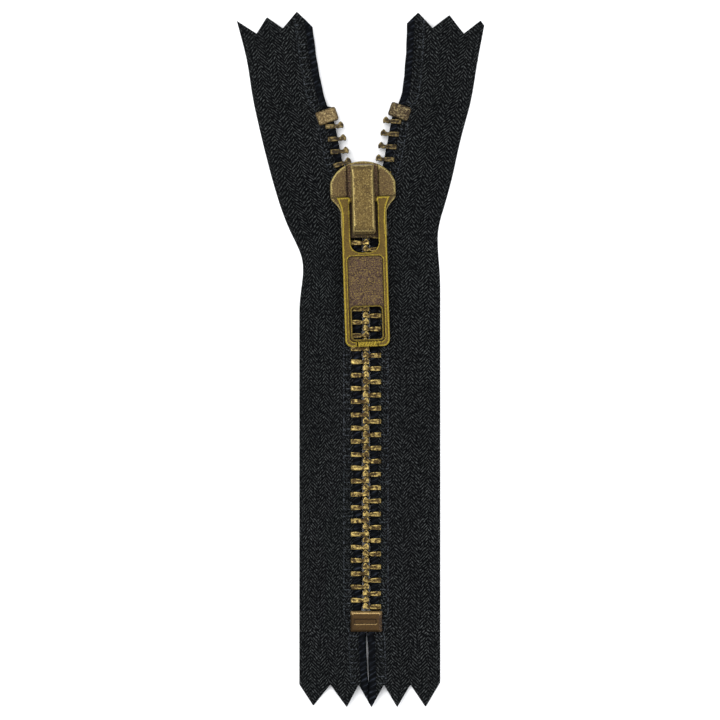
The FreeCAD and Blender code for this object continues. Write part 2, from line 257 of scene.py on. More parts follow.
def rows_to_cut(side, part, line_x, spacing):
    """Heights of the rows of each lengthwise line, from one end of the part to the other."""
    start, end = PARTS[part]
    rows = np.linspace(start, end, int(round((end - start) / spacing)) + 1)
    cut = cut_y(side, part, line_x)
    if part == "lower":
        keep = start + STRETCHED
        share = np.clip((keep - rows) / STRETCHED, 0, 1)[:, None]
        return np.maximum(rows, keep)[:, None] + share * (cut - keep)
    keep = end - STRETCHED
    share = np.clip((rows - keep) / STRETCHED, 0, 1)[:, None]
    return np.minimum(rows, keep)[:, None] + share * (cut - keep)


# %% [markdown]
# ## The tapes
# Zip tape is a herringbone twill. Its picks lean one way in one column and the other way in the
# next. A bump map alone looks printed at this scale, so each pick is raised in the mesh, and the
# material adds the fibres inside it. Beside the chain the tape is held at the chain's height, and
# it slopes down to the table further out.

# %% Tape shape
GRID = 0.2
HALF_THICK = 0.3
TAPE_SPAN = 15.6
INNER_LAP = 0.5
FLAT_TO, SLOPE_TO = 6.45, 11.05
COLUMN, PICK, LEAN = 2.1, 0.84, 1.0
PICK_RISE = 0.075
UV_METRES = 0.2


def weave_height(across, y):
    """Herringbone: 1 on the crown of a pick, 0 between two."""
    column = np.floor(across / COLUMN)
    inside = across / COLUMN - column
    way = 1 - 2 * np.mod(column, 2)
    crown = np.abs(np.sin(np.pi * (y / PICK + way * inside * LEAN * COLUMN / PICK)))
    return crown ** 0.7 * np.sin(np.pi * np.clip(inside, 0.02, 0.98)) ** 0.4


def skin(name, points, faces, uv=None, flat=None):
    """A mesh object from points in millimetres. flat marks the faces that aren't shaded smooth."""
    mesh = bpy.data.meshes.new(name)
    mesh.from_pydata((np.asarray(points) * MM).tolist(), [], faces)
    smooth = np.ones(len(mesh.polygons), bool)
    if flat is not None:
        smooth[flat] = False
    mesh.polygons.foreach_set("use_smooth", smooth)
    if uv is not None:
        corners = np.empty(len(mesh.loops), int)
        mesh.loops.foreach_get("vertex_index", corners)
        mesh.uv_layers.new(name="length").data.foreach_set("uv", np.asarray(uv)[corners].ravel())
    piece = bpy.data.objects.new(name, mesh)
    bpy.context.collection.objects.link(piece)
    return piece


def grid_faces(ids):
    a, b, c, d = ids[:-1, :-1], ids[:-1, 1:], ids[1:, 1:], ids[1:, :-1]
    return np.stack([a, b, c, d], -1).reshape(-1, 4)


def make_tape(side, part):
    sign = SIDES[side]
    shares = np.linspace(0, 1, int(TAPE_SPAN / GRID) + 1)

    def line_x(y):
        inner = cord_x(side, y) + sign * INNER_LAP
        return inner + shares * (edge_x(side, y) - inner)

    y = rows_to_cut(side, part, line_x, GRID)
    inner = cord_x(side, y) + sign * INNER_LAP
    x = inner + shares * (edge_x(side, y) - inner)
    across = np.broadcast_to(shares * TAPE_SPAN, y.shape)
    from_cord = np.abs(x - cord_x(side, y))
    level = CHAIN_Z + (HALF_THICK - CHAIN_Z) * smooth_step(from_cord, FLAT_TO - 0.4, SLOPE_TO + 0.4)
    half = HALF_THICK * np.sqrt(1 - (1 - np.clip((1 - shares) * TAPE_SPAN / 0.35, 0, 1)) ** 2 * 0.8)
    dip = PICK_RISE * (1 - weave_height(across, y))
    top = np.stack([x, y, level + half - dip], -1)
    under = np.stack([x, y, level - half + dip * 0.6], -1)
    if sign < 0:
        top, under, across = top[:, ::-1], under[:, ::-1], across[:, ::-1]
    rows, columns = y.shape
    upper = np.arange(rows * columns).reshape(rows, columns)
    lower = upper[:, ::-1] + rows * columns
    ring = np.concatenate([upper, lower, upper[:, :1]], 1)
    sides = grid_faces(ring)
    low_cap = grid_faces(np.stack([lower[0, ::-1], upper[0]]))
    high_cap = grid_faces(np.stack([upper[-1], lower[-1, ::-1]]))
    faces = np.concatenate([sides, low_cap, high_cap])
    places = np.concatenate([top.reshape(-1, 3), under.reshape(-1, 3)])
    uv = np.stack([across, top[..., 1]], -1).reshape(-1, 2) * MM / UV_METRES
    flat = np.arange(len(sides), len(faces))
    return skin(side + "_tape_" + part, places, faces.tolist(), np.concatenate([uv, uv]), flat)


tapes = {(side, part): make_tape(side, part) for side in SIDES for part in PARTS}
print("tapes:", {tape.name: 2 * len(tape.data.polygons) for tape in tapes.values()}, "triangles")

# %% [markdown]
# The bead cord is a twisted core under the tape's edge. It is a tube whose radius rises and falls
# in four strands that wind round it, and its ends are closed by a fan of triangles.

# %% Cords
CORD_RADIUS = 0.95
STRANDS, TWIST_LENGTH, STRAND_RISE = 4, 5.2, 0.08
AROUND = 28
INNER_BULGE = 0.25     # in the closed chain the cord spreads a little towards the middle
FOOT_BULGE = 0.08      # and at the very foot the two cords press together


def make_cord(side, part):
    angle = np.linspace(0, 2 * np.pi, AROUND, endpoint=False)
    y = rows_to_cut(side, part, lambda y: cord_x(side, y) + CORD_RADIUS * np.cos(angle), 0.2)
    turn = angle + SIDES[side] * 2 * np.pi * y / TWIST_LENGTH / STRANDS
    radius = CORD_RADIUS - STRAND_RISE * (1 - np.abs(np.cos(turn * STRANDS / 2)) ** 0.8)
    in_chain = smooth_step(y, 2.0, 4.0) * (1 - smooth_step(y, 98, 104))
    spread = INNER_BULGE * in_chain + FOOT_BULGE * (1 - smooth_step(y, -16.0, -14.0))
    bulge = 1 + spread * (SIDES[side] * np.cos(angle) < 0)
    x = cord_x(side, y) + radius * bulge * np.cos(angle)
    rings = np.stack([x, y, CHAIN_Z + radius * np.sin(angle)], -1)
    ids = np.arange(rings[..., 0].size).reshape(x.shape)
    body = grid_faces(np.concatenate([ids, ids[:, :1]], 1))[:, ::-1].tolist()
    tips = np.array([rings[0].mean(0), rings[-1].mean(0)])
    first, last = ids.size, ids.size + 1
    fans = [[int(ids[0, k - 1]), int(ids[0, k]), first] for k in range(AROUND)]
    fans += [[int(ids[-1, k]), int(ids[-1, k - 1]), last] for k in range(AROUND)]
    places = np.concatenate([rings.reshape(-1, 3), tips])
    wound = np.stack([np.broadcast_to(angle, x.shape), rings[..., 1]], -1).reshape(-1, 2)
    uv = np.concatenate([wound, np.zeros((2, 2))]) * MM / UV_METRES
    flat = np.arange(len(body), len(body) + len(fans))
    return skin(side + "_cord_" + part, places, body + fans, uv, flat)


cords = {(side, part): make_cord(side, part) for side in SIDES for part in PARTS}
print("cords:", len(cords))

# %% [markdown]
# ## Ladder stitches
# Rows of short bars sew the cord to the tape, on a thread that runs along their outer ends. They
# repeat along a path, which is what Geometry Nodes do well: the tree turns the path into a curve,
# sets a bar on it at every stitch and gives both a round thread. Copying bars in Python would
# work too, but then the pitch could no longer be changed in the modifier.


# %% Geometry Nodes helpers
def new_tree(name, inputs):
    tree = bpy.data.node_groups.new(name, "GeometryNodeTree")
    tree.interface.new_socket("Geometry", in_out="INPUT", socket_type="NodeSocketGeometry")
    for label, kind in inputs:
        tree.interface.new_socket(label, in_out="INPUT", socket_type=kind)
    tree.interface.new_socket("Geometry", in_out="OUTPUT", socket_type="NodeSocketGeometry")
    return tree, add(tree, "NodeGroupInput").outputs, add(tree, "NodeGroupOutput").inputs


def grow(path, tree, name, values):
    """Runs the tree on a path object, and returns the result as a plain mesh object."""
    modifier = path.modifiers.new(tree.name, "NODES")
    modifier.node_group = tree
    for item in tree.interface.items_tree:
        if item.in_out == "INPUT" and item.name in values:
            modifier[item.identifier] = values[item.name]
    bpy.context.view_layer.update()
    made = path.evaluated_get(bpy.context.evaluated_depsgraph_get())
    mesh = bpy.data.meshes.new_from_object(made)
    bpy.data.objects.remove(path)
    piece = bpy.data.objects.new(name, mesh)
    bpy.context.collection.objects.link(piece)
    return piece


# %% The stitch tree
stitch_tree, given, result = new_tree("ladder stitch", [
    ("Pitch", FLOAT), ("Reach", FLOAT), ("Thread", FLOAT), ("Finish", "NodeSocketMaterial")])
radius = add(stitch_tree, "ShaderNodeMath", {0: given["Thread"], 1: 0.5}, operation="MULTIPLY")
round_thread = add(stitch_tree, "GeometryNodeCurvePrimitiveCircle",
                   {"Resolution": 6, "Radius": radius.outputs[0]})
spine = add(stitch_tree, "GeometryNodeMeshToCurve", {"Mesh": given["Geometry"]})
thread = add(stitch_tree, "GeometryNodeCurveToMesh",
             {"Curve": spine.outputs[0], "Profile Curve": round_thread.outputs[0],
              "Fill Caps": True})
half_reach = add(stitch_tree, "ShaderNodeMath", {0: given["Reach"], 1: 0.5}, operation="MULTIPLY")
crown = add(stitch_tree, "ShaderNodeCombineXYZ", {"X": half_reach.outputs[0],
                                                   "Z": radius.outputs[0]})
far_end = add(stitch_tree, "ShaderNodeCombineXYZ", {"X": given["Reach"]})
bar_line = add(stitch_tree, "GeometryNodeCurveQuadraticBezier",
               {"Resolution": 4, "Start": (0, 0, 0), "Middle": crown.outputs[0],
                "End": far_end.outputs[0]})
bar = add(stitch_tree, "GeometryNodeCurveToMesh",
          {"Curve": bar_line.outputs[0], "Profile Curve": round_thread.outputs[0],
           "Fill Caps": True})
places = add(stitch_tree, "GeometryNodeResampleCurve",
             {"Curve": spine.outputs[0], "Length": given["Pitch"]}, mode="LENGTH")
tangent = add(stitch_tree, "GeometryNodeInputTangent")
facing = add(stitch_tree, "FunctionNodeAlignRotationToVector",
             {"Vector": tangent.outputs[0]}, axis="Y", pivot_axis="Z")
bars = add(stitch_tree, "GeometryNodeInstanceOnPoints",
           {"Points": places.outputs[0], "Instance": bar.outputs[0],
            "Rotation": facing.outputs[0]})
sewn = add(stitch_tree, "GeometryNodeJoinGeometry", {0: thread.outputs[0]})
stitch_tree.links.new(bars.outputs[0], sewn.inputs[0])
whole = add(stitch_tree, "GeometryNodeRealizeInstances", {0: sewn.outputs[0]})
shaded = add(stitch_tree, "GeometryNodeSetShadeSmooth", {0: whole.outputs[0]})
finished = add(stitch_tree, "GeometryNodeSetMaterial",
               {"Geometry": shaded.outputs[0], "Material": given["Finish"]})
stitch_tree.links.new(finished.outputs[0], result[0])
print("stitch tree:", len(stitch_tree.nodes), "nodes")

# %% [markdown]
# The threads of the tapes, cords and stitches are all spun polyester, so they share one effect:
# the herringbone or twist gives a height for each pick, and fine fibres run along it. The Shade
# colour is the dark thread; the Light colour on the fibres is a painted highlight, strongest on each
# pick's crown, so the gaps between picks stay dark as painted shade.

# %% Spun thread group
thread_group, given, result = new_group(
    "spun thread",
    [("Place", VECTOR, (0, 0, 0)), ("Crown", FLOAT, 1.0), ("Shade", COLOUR, paint(4, 5, 6)),
     ("Light", COLOUR, paint(72, 75, 75)), ("Speckle", FLOAT, 2.0)],
    [("Colour", COLOUR), ("Roughness", FLOAT), ("Height", FLOAT)])
fibre = add(thread_group, "ShaderNodeTexNoise",
            {"Vector": given["Place"], "Scale": given["Speckle"], "Detail": 4.0,
             "Roughness": 0.62})
broad = add(thread_group, "ShaderNodeTexNoise",
            {"Vector": given["Place"], "Scale": 0.12, "Detail": 2.0})
spread = add(thread_group, "ShaderNodeMapRange",
             {"Value": fibre.outputs[0], "From Min": 0.48, "From Max": 0.62})
# Painted highlight: fibres along each pick's crown take the Light colour, and the rest keeps the dark
# Shade colour, so the gaps between picks read as painted shade.
sunk = calc(thread_group, "POWER", given["Crown"], 3.0)
lit = calc(thread_group, "MULTIPLY", spread.outputs[0], sunk, clamp=True)
cloudy = calc(thread_group, "MULTIPLY_ADD", broad.outputs[0], 0.9, 0.45)
amount = calc(thread_group, "MULTIPLY", lit, cloudy, clamp=True)
thread_group.links.new(mix(thread_group, amount, given["Shade"], given["Light"]), result["Colour"])
thread_group.links.new(calc(thread_group, "MULTIPLY_ADD", lit, -0.2, 0.85), result["Roughness"])
thread_group.links.new(calc(thread_group, "MULTIPLY_ADD", lit, 0.6, calc(
    thread_group, "MULTIPLY", given["Crown"], 0.4)), result["Height"])


def use_group(tree, group, values):
    node = add(tree, "ShaderNodeGroup", node_tree=group)
    for label, value in values.items():
        if isinstance(value, bpy.types.NodeSocket):
            tree.links.new(value, node.inputs[label])
        else:
            node.inputs[label].default_value = value
    return node.outputs


def finish_with(tree, shader, effect, depth):
    """Plugs an effect's colour, roughness and height (in metres for a height of 1) into a shader."""
    tree.links.new(effect["Colour"], shader.inputs["Base Color"])
    tree.links.new(effect["Roughness"], shader.inputs["Roughness"])
    bump = add(tree, "ShaderNodeBump", {"Height": effect["Height"], "Distance": depth})
    tree.links.new(bump.outputs[0], shader.inputs["Normal"])


def strip_axes(tree):
    """Across and along a strip, in millimetres, from its own UV map."""
    uv = add(tree, "ShaderNodeUVMap", uv_map="length").outputs[0]
    flat = add(tree, "ShaderNodeVectorMath", {0: uv, 1: (UV_METRES / MM,) * 3}, operation="MULTIPLY")
    return add(tree, "ShaderNodeSeparateXYZ", {0: flat.outputs[0]}).outputs


def place_in_mm(tree):
    place = add(tree, "ShaderNodeTexCoord").outputs["Object"]
    scaled = add(tree, "ShaderNodeVectorMath", {0: place, 1: (1 / MM,) * 3}, operation="MULTIPLY")
    return scaled.outputs[0]


# %% Woven tape finish
tape_finish, tree, shader = new_material("woven tape", Specular_IOR_Level=0.03)
axes = strip_axes(tree)
columns = calc(tree, "DIVIDE", axes["X"], COLUMN)
inside = calc(tree, "FRACT", columns)
way = calc(tree, "PINGPONG", calc(tree, "FLOOR", columns), 1.0)
way = calc(tree, "MULTIPLY_ADD", way, -2.0, 1.0)
leaning = calc(tree, "MULTIPLY", way, calc(tree, "MULTIPLY", inside, LEAN * COLUMN / PICK))
phase = calc(tree, "ADD", calc(tree, "DIVIDE", axes["Y"], PICK), leaning)
crown = calc(tree, "ABSOLUTE", calc(tree, "SINE", calc(tree, "MULTIPLY", phase, math.pi)))
along_pick = add(tree, "ShaderNodeCombineXYZ", {"X": axes["X"], "Y": phase}).outputs[0]
effect = use_group(tree, thread_group, {"Place": along_pick, "Crown": crown})
finish_with(tree, shader, effect, 0.00008)

# %% Cord finish
cord_finish, tree, shader = new_material("bead cord", Specular_IOR_Level=0.03)
axes = strip_axes(tree)
wound = calc(tree, "ADD", calc(tree, "MULTIPLY", axes["X"], 0.5), calc(tree, "MULTIPLY", axes["Y"], 1.1))
crown = calc(tree, "ABSOLUTE", calc(tree, "SINE", calc(tree, "MULTIPLY", wound, 2.0)))
around = add(tree, "ShaderNodeCombineXYZ",
             {"X": wound, "Y": calc(tree, "MULTIPLY", axes["Y"], 0.3)}).outputs[0]
effect = use_group(tree, thread_group, {"Place": around, "Crown": crown, "Speckle": 3.0,
                                        "Shade": paint(5, 6, 8), "Light": paint(44, 48, 56)})
finish_with(tree, shader, effect, 0.0001)

# %% Stitch finish
stitch_finish, tree, shader = new_material("stitch thread", Specular_IOR_Level=0.03)
effect = use_group(tree, thread_group, {"Place": place_in_mm(tree), "Crown": 1.0, "Speckle": 2.5,
                                        "Shade": paint(10, 11, 12), "Light": paint(66, 70, 74)})
finish_with(tree, shader, effect, 0.00006)
for piece in tapes.values():
    piece.data.materials.append(tape_finish)
for piece in cords.values():
    piece.data.materials.append(cord_finish)

# %% Sew the stitches
STITCH_PITCH, STITCH_REACH, STITCH_THREAD = 1.6, 1.85, 0.4
SPINE_FROM_CORD = 3.2
STITCH_Z = CHAIN_Z + HALF_THICK - 0.06


def make_stitches(side, part):
    offsets = SIDES[side] * (SPINE_FROM_CORD - np.linspace(0, STITCH_REACH, 5))
    cut = cut_y(side, part, lambda y: cord_x(side, y) + offsets)
    low, high = PARTS[part]
    if part == "lower":
        low = cut.max() + 0.5
    else:
        high = cut.min() - 0.5
    y = np.arange(low, high + 0.2, 0.4).clip(low, high)
    points = np.stack([cord_x(side, y) + offsets[0], y, np.full_like(y, STITCH_Z)], -1)
    path = bpy.data.meshes.new("path")
    path.from_pydata((points * MM).tolist(), [(k, k + 1) for k in range(len(y) - 1)], [])
    holder = bpy.data.objects.new("path", path)
    bpy.context.collection.objects.link(holder)
    sizes = {"Pitch": STITCH_PITCH * MM, "Reach": -SIDES[side] * STITCH_REACH * MM,
             "Thread": STITCH_THREAD * MM, "Finish": stitch_finish}
    return grow(holder, stitch_tree, side + "_stitches_" + part, sizes)


stitches = {(side, part): make_stitches(side, part) for side in SIDES for part in PARTS}
print("stitches:", {piece.name: len(piece.data.polygons) for piece in stitches.values()})

# %% [markdown]
# ## Aged brass, with painted light
# All the metal is brass that was darkened and then polished back: bright along raised edges, brown
# on open faces and nearly black in corners. Some of this is painted light: the cap's lower end and
# right side are painted shade, the slider's plate under the pull has a painted shadow, and the bottom
# stop's bright top edge and groove line are a painted highlight. The meshes carry three numbers at
# each point: edge, recess (with the painted shadow) and patina (with the painted shade), and one
# shader group turns them into a colour, a roughness and a height.

# %% Aged metal and painted shade group
metal_group, given, result = new_group(
    "aged metal",
    [("Place", VECTOR, (0, 0, 0)), ("Rim", COLOUR, paint(190, 165, 95)),
     ("Face", COLOUR, paint(125, 100, 62)), ("Patina", COLOUR, paint(98, 76, 70)),
     ("Dark", COLOUR, paint(38, 28, 20)), ("Grain", FLOAT, 2.6), ("Mottle", FLOAT, 0.6),
     ("Contrast", FLOAT, 0.9)],
    [("Colour", COLOUR), ("Roughness", FLOAT), ("Height", FLOAT)])
edge = add(metal_group, "ShaderNodeAttribute", attribute_name="edge").outputs["Fac"]
recess_and_shade = add(metal_group, "ShaderNodeAttribute", attribute_name="recess_and_shade").outputs["Fac"]
aged_and_shaded = add(metal_group, "ShaderNodeAttribute", attribute_name="patina_and_shade").outputs["Fac"]
grain = add(metal_group, "ShaderNodeTexNoise",
            {"Vector": given["Place"], "Scale": given["Grain"], "Detail": 5.0, "Roughness": 0.7})
blotch = add(metal_group, "ShaderNodeTexNoise",
             {"Vector": given["Place"], "Scale": given["Mottle"], "Detail": 3.0})
grain_high = add(metal_group, "ShaderNodeMapRange",
                 {"Value": grain.outputs[0], "From Min": 0.36, "From Max": 0.64}).outputs[0]
speckled = calc(metal_group, "MULTIPLY_ADD", grain_high, given["Contrast"],
                calc(metal_group, "MULTIPLY", given["Contrast"], -0.5))
rubbed = add(metal_group, "ShaderNodeMapRange",
             {"Value": calc(metal_group, "ADD", edge, speckled), "From Min": 0.25,
              "From Max": 0.85}).outputs[0]
rubbed = calc(metal_group, "MULTIPLY", rubbed,
              calc(metal_group, "MULTIPLY_ADD", aged_and_shaded, -0.5, 1.0))
stipple = calc(metal_group, "MULTIPLY", aged_and_shaded, calc(metal_group, "SUBTRACT", grain_high, 0.5))
# Where the third number is high the face takes the darker colour: real patina on the pull's panel, and
# painted shade on the cap's lower end and right side.
face = mix(metal_group, aged_and_shaded, given["Face"], given["Patina"])
face = mix(metal_group, calc(metal_group, "MULTIPLY", stipple, 1.1, clamp=True), face, given["Rim"])
cloud = calc(metal_group, "MULTIPLY_ADD", blotch.outputs[0], 0.9, -0.3)
tarnish = calc(metal_group, "MULTIPLY_ADD", speckled, -0.8, cloud)
tarnish = calc(metal_group, "MULTIPLY_ADD", stipple, -1.5, tarnish, clamp=True)
face = mix(metal_group, tarnish, face, given["Dark"])
# Dark in hollows: patina in the inside corners, and a painted shadow on the slider's plate under the
# pull.
face = mix(metal_group, calc(metal_group, "MULTIPLY", recess_and_shade, 0.85), face, given["Dark"])
metal_group.links.new(mix(metal_group, rubbed, face, given["Rim"]), result["Colour"])
dull = calc(metal_group, "MULTIPLY_ADD", rubbed, -0.14, 0.48)
metal_group.links.new(calc(metal_group, "MULTIPLY_ADD", aged_and_shaded, 0.12, dull), result["Roughness"])
metal_group.links.new(grain_high, result["Height"])


def metal_finish(name, depth=0.00003, metallic=0.85, **colours):
    material, tree, shader = new_material(name, Metallic=metallic)
    effect = use_group(tree, metal_group, {"Place": place_in_mm(tree), **colours})
    finish_with(tree, shader, effect, depth)
    return material


tooth_metal = metal_finish("tooth brass", Rim=paint(148, 128, 74), Face=paint(60, 45, 21),
                           Dark=paint(15, 9, 5), Grain=1.2, Contrast=1.3)
open_tooth_metal = metal_finish("open tooth brass", Rim=paint(100, 86, 53), Face=paint(40, 31, 18),
                                Dark=paint(10, 8, 5), Grain=1.2, Contrast=1.2)
slider_metal = metal_finish("slider brass", Rim=paint(136, 122, 74), Face=paint(80, 64, 38),
                            Patina=paint(74, 54, 45), Grain=3.4, Contrast=1.3)
cap_metal = metal_finish("cap brass", Rim=paint(140, 124, 76), Face=paint(86, 70, 36),
                         Patina=paint(66, 48, 29), Grain=3.4, Contrast=1.4)
pull_metal = metal_finish("pull brass", Rim=paint(150, 130, 44), Face=paint(90, 72, 32),
                          Patina=paint(80, 62, 56), depth=0.00006, Grain=3.6, Contrast=0.8)
stop_metal = metal_finish("stop brass", Rim=paint(144, 120, 78), Face=paint(58, 41, 16),
                          Patina=paint(52, 38, 34), Contrast=0.35)
top_stop_metal = metal_finish("top stop brass", Rim=paint(150, 136, 98), Face=paint(96, 80, 52),
                              Patina=paint(58, 48, 34), Mottle=1.1, Contrast=1.5)
spring_metal = metal_finish("spring steel", Rim=paint(200, 200, 205), Face=paint(150, 150, 155))

# %% [markdown]
# ## The teeth
# One tooth is modelled and copied by Geometry Nodes to each place along the cord. Its plan has two
# crimped legs, a narrow waist, and a head with a nib on one side and a hollow on the other, so
# that each nib drops into the next tooth's hollow. A right-hand tooth is the same one turned over.

# %% One tooth
TOOTH_PLAN = [
    (-1.52, -0.48), (-1.4, -0.6), (-0.3, -0.6), (0.8, -0.56), (1.25, -0.44), (1.45, -0.54),
    (1.68, -0.62), (1.9, -0.5), (2.2, -0.4), (2.5, -0.48), (2.74, -0.6), (2.92, -0.34),
    (2.96, 0.0), (2.92, 0.38), (2.78, 0.6), (2.6, 0.86), (2.25, 1.1), (1.95, 0.92), (1.7, 0.6),
    (1.46, 0.44), (1.25, 0.36), (0.8, 0.5), (-0.3, 0.6), (-1.4, 0.6), (-1.52, 0.48)]
# Rings of half a tooth, from its middle to a face: height, inset and edge brightness.
HALF_RINGS = [(0.75, 0.0, 0.0), (1.08, 0.0, 0.3), (1.2, 0.05, 0.75), (1.25, 0.14, 0.75),
              (1.22, 0.28, 0.35)]
TOOTH_RINGS = [(-height, *rest) for height, *rest in reversed(HALF_RINGS)] + HALF_RINGS


def make_tooth():
    plan = np.array(TOOTH_PLAN)
    step = np.roll(plan, -1, 0) - np.roll(plan, 1, 0)
    outward = np.stack([step[:, 1], -step[:, 0]], -1) / np.linalg.norm(step, axis=1)[:, None]
    count = len(plan)
    places, edge = [], []
    for height, inset, bright in TOOTH_RINGS:
        ring = plan - outward * inset
        waist = np.exp(-((ring[:, 0] - 1.3) / 0.22) ** 2) * (0.3 if abs(height) > 1 else 0)
        places += [(x, y, height - math.copysign(w, height)) for (x, y), w in zip(ring, waist)]
        edge += list(bright * (1 - 3 * waist))
    ids = np.arange(len(places)).reshape(-1, count)
    faces = grid_faces(np.concatenate([ids, ids[:, :1]], 1)).tolist()
    faces += [ids[0, ::-1].tolist(), ids[-1].tolist()]
    tooth = skin("tooth", places, faces)
    tooth.data.attributes.new("edge", "FLOAT", "POINT").data.foreach_set("value", edge)
    return tooth


tooth = make_tooth()
print("one tooth:", len(tooth.data.polygons), "faces")

# %% The tree that sets the teeth
teeth_tree, given, result = new_tree("teeth on a cord", [
    ("Tooth", "NodeSocketObject"), ("Looseness", FLOAT), ("Seed", "NodeSocketInt"),
    ("Finish", "NodeSocketMaterial")])
source = add(teeth_tree, "GeometryNodeObjectInfo", {"Object": given["Tooth"]})
turn = add(teeth_tree, "GeometryNodeInputNamedAttribute", {"Name": "facing"},
           data_type="FLOAT_VECTOR")
facing = add(teeth_tree, "FunctionNodeEulerToRotation", {0: turn.outputs[0]})
least = add(teeth_tree, "ShaderNodeMath", {0: given["Looseness"], 1: -1.0}, operation="MULTIPLY")
wobble = add(teeth_tree, "FunctionNodeRandomValue",
             {"Min": least.outputs[0], "Max": given["Looseness"], "Seed": given["Seed"]},
             data_type="FLOAT_VECTOR")
loose = add(teeth_tree, "FunctionNodeEulerToRotation", {0: wobble.outputs[0]})
turned = add(teeth_tree, "FunctionNodeRotateRotation",
             {0: facing.outputs[0], 1: loose.outputs[0]}, rotation_space="LOCAL")
crimped = add(teeth_tree, "GeometryNodeInstanceOnPoints",
              {"Points": given["Geometry"], "Instance": source.outputs["Geometry"],
               "Rotation": turned.outputs[0]})
whole = add(teeth_tree, "GeometryNodeRealizeInstances", {0: crimped.outputs[0]})
finished = add(teeth_tree, "GeometryNodeSetMaterial",
               {"Geometry": whole.outputs[0], "Material": given["Finish"]})
teeth_tree.links.new(finished.outputs[0], result[0])
print("teeth tree:", len(teeth_tree.nodes), "nodes")

# %% Crimp the teeth on the cords
PITCH = 3.216
FIRST_TOOTH = {"left": 5.15, "right": 3.54}
CHAIN_TEETH = {"left": 32, "right": 33}
FOOT_TEETH = 2
OPEN_PITCH, OPEN_TEETH, OPEN_SQUARENESS = 3.08, 4, 0.3
LEVEL_ABOVE_Y = 111.5
TOP_TOOTH = {"left": 120.3, "right": 121.5}


def lean_angle(side, y):
    """Angle between the cord's direction at y and +Y, anticlockwise."""
    return math.atan2(cord_x(side, y - 0.2) - cord_x(side, y + 0.2), 0.4)


def tooth_angle(side, y):
    """Teeth are square to the cord, except that the open ones stand nearly level."""
    return lean_angle(side, y) * (OPEN_SQUARENESS if y > LEVEL_ABOVE_Y else 1.0)


def tooth_rows(side):
    chain = [FIRST_TOOTH[side]]
    while len(chain) < CHAIN_TEETH[side]:
        chain.append(chain[-1] + PITCH * math.cos(lean_angle(side, chain[-1])))
    opened = [TOP_TOOTH[side] - OPEN_PITCH * k for k in range(OPEN_TEETH + 1)]
    return {"foot": chain[:FOOT_TEETH], "stringer": chain[FOOT_TEETH:] + opened[OPEN_TEETH:],
            "end": opened[:OPEN_TEETH]}


def set_teeth(side, body, rows):
    mesh = bpy.data.meshes.new("places")
    mesh.from_pydata([(cord_x(side, y) * MM, y * MM, CHAIN_Z * MM) for y in rows], [], [])
    over = math.pi if side == "right" else 0.0
    facing = [value for y in rows for value in (0.0, over, tooth_angle(side, y))]
    mesh.attributes.new("facing", "FLOAT_VECTOR", "POINT").data.foreach_set("vector", facing)
    holder = bpy.data.objects.new("places", mesh)
    bpy.context.collection.objects.link(holder)
    values = {"Tooth": tooth, "Looseness": math.radians(1.2), "Seed": 7 + len(rows),
              "Finish": open_tooth_metal if body == "end" else tooth_metal}
    return grow(holder, teeth_tree, side + "_teeth_" + body + "_set", values)


for side in SIDES:
    for body, rows in tooth_rows(side).items():
        piece = set_teeth(side, body, rows)
        node = side + "_teeth" + ("" if body == "stringer" else "_" + body)
        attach(piece, body if body == "foot" else side + "_" + body)
        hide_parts(node)
        print(piece.name, len(rows), "teeth")
bpy.data.objects.remove(tooth)

# %% [markdown]
# ## Cast and stamped parts
# The slider, its cap, the pull and the stops have soft edges from casting and tumbling. Each is a
# copy of its CAD solid, remade as an even skin of small faces and relaxed a little, which rounds
# every edge by the same amount. A bevel would need clean faces, and these come as loose triangles.
# The distance from each point to the solid's sharp edges gives the wear: ridges are bright, and
# inside corners are dark.


# %% Soft copy of a CAD solid
def creases(mesh):
    """Points along the ridges and along the inside corners, in millimetres."""
    solid = bmesh.new()
    solid.from_mesh(mesh)
    ridges, corners = [], []
    for line in solid.edges:
        if len(line.link_faces) != 2:
            continue
        angle = math.degrees(line.calc_face_angle_signed())
        if abs(angle) < 28:
            continue
        start, end = (v.co for v in line.verts)
        steps = max(1, int((end - start).length / 0.08))
        points = [start.lerp(end, k / steps) for k in range(steps + 1)]
        (ridges if angle > 0 else corners).extend(points)
    solid.free()
    return ridges, corners


def nearness(points, spots, reach):
    """1 on the spots, fading to 0 at a few times reach from them."""
    if not spots:
        return np.zeros(len(points))
    tree = kdtree.KDTree(len(spots))
    for k, spot in enumerate(spots):
        tree.insert(spot, k)
    tree.balance()
    distance = np.array([tree.find(point)[2] for point in points])
    return np.exp(-(distance / reach) ** 2)


